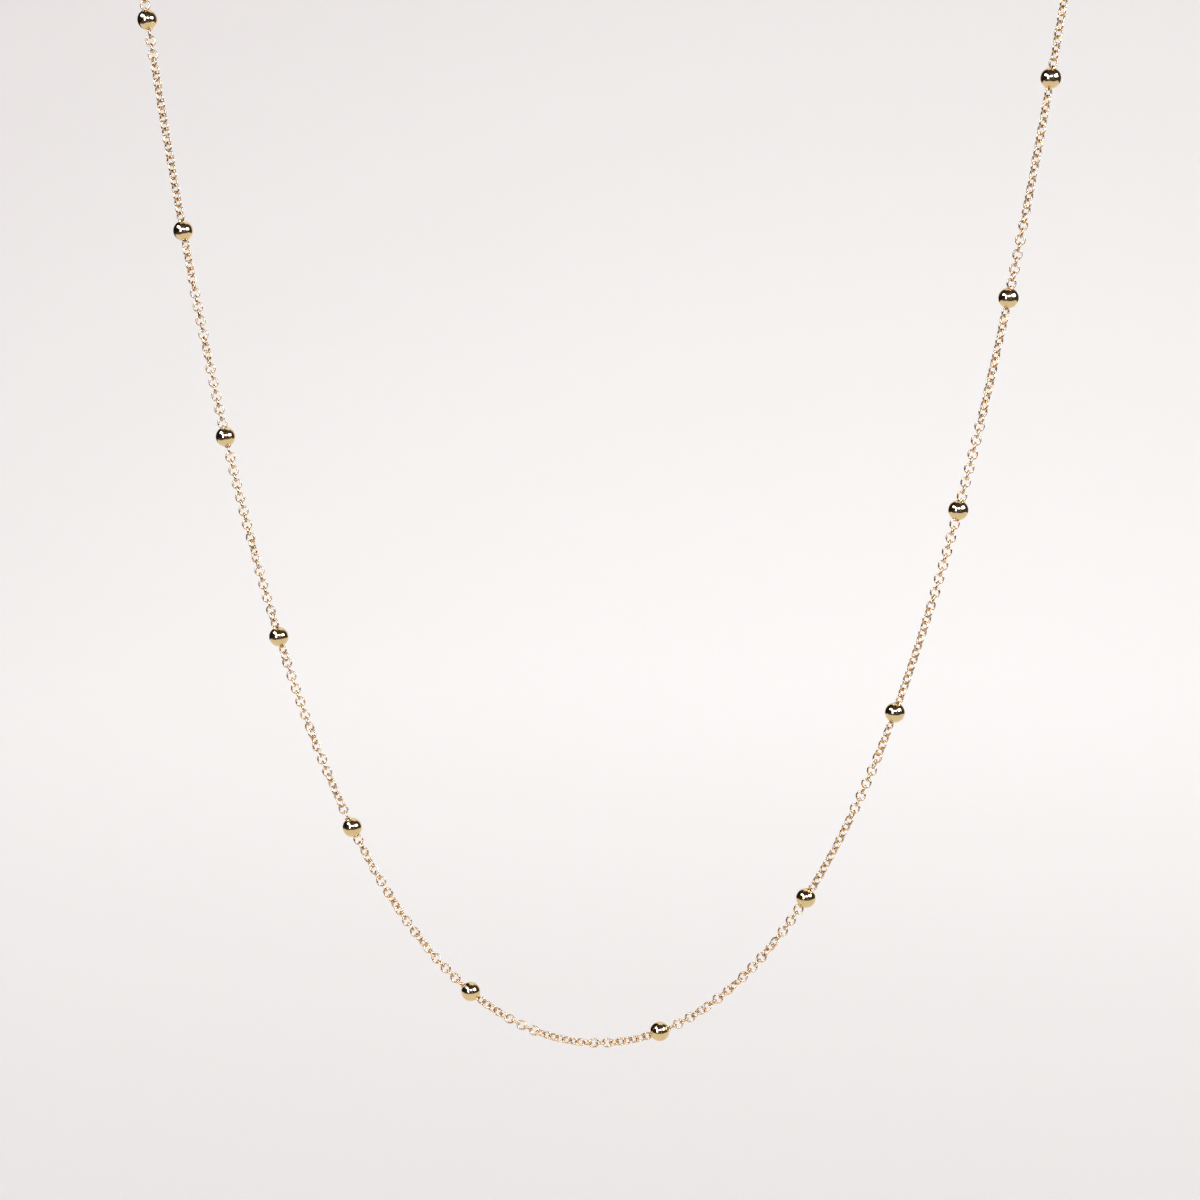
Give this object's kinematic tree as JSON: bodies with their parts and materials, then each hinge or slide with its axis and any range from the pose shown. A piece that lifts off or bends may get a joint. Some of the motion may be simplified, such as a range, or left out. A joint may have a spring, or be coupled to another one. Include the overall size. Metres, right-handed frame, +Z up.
{
  "type": "station necklace",
  "caption": "Fine cable chain necklace with small polished metal balls evenly spaced along it, hanging as worn, with a plain ring clasp at the nape.",
  "frame": {"origin": "middle of the nape, on the middle line of the chain's level back stretch", "axes": "+Z up, -Y towards the front of the wearer where the necklace hangs, +X to the right as seen from the front"},
  "size_m": [0.1146, 0.0713, 0.1427],
  "materials": {
    "chain_gold": "polished pale gold",
    "ball_gold": "mirror polished pale gold",
    "clasp_gold": "polished pale gold"
  },
  "bodies": {
    "root": {"chain": "chain_gold", "ball_01": "ball_gold", "ball_02": "ball_gold", "ball_03": "ball_gold", "ball_04": "ball_gold", "ball_05": "ball_gold", "ball_06": "ball_gold", "ball_07": "ball_gold", "ball_08": "ball_gold", "ball_09": "ball_gold", "ball_10": "ball_gold", "ball_11": "ball_gold", "ball_12": "ball_gold", "ball_13": "ball_gold", "ball_14": "ball_gold", "ball_15": "ball_gold", "ball_16": "ball_gold", "ball_17": "ball_gold", "ball_18": "ball_gold", "ball_19": "ball_gold", "ball_20": "ball_gold", "clasp": "clasp_gold", "end_ring": "clasp_gold", "clasp_link": "chain_gold", "ring_link": "chain_gold"}
  },
  "joints": []
}
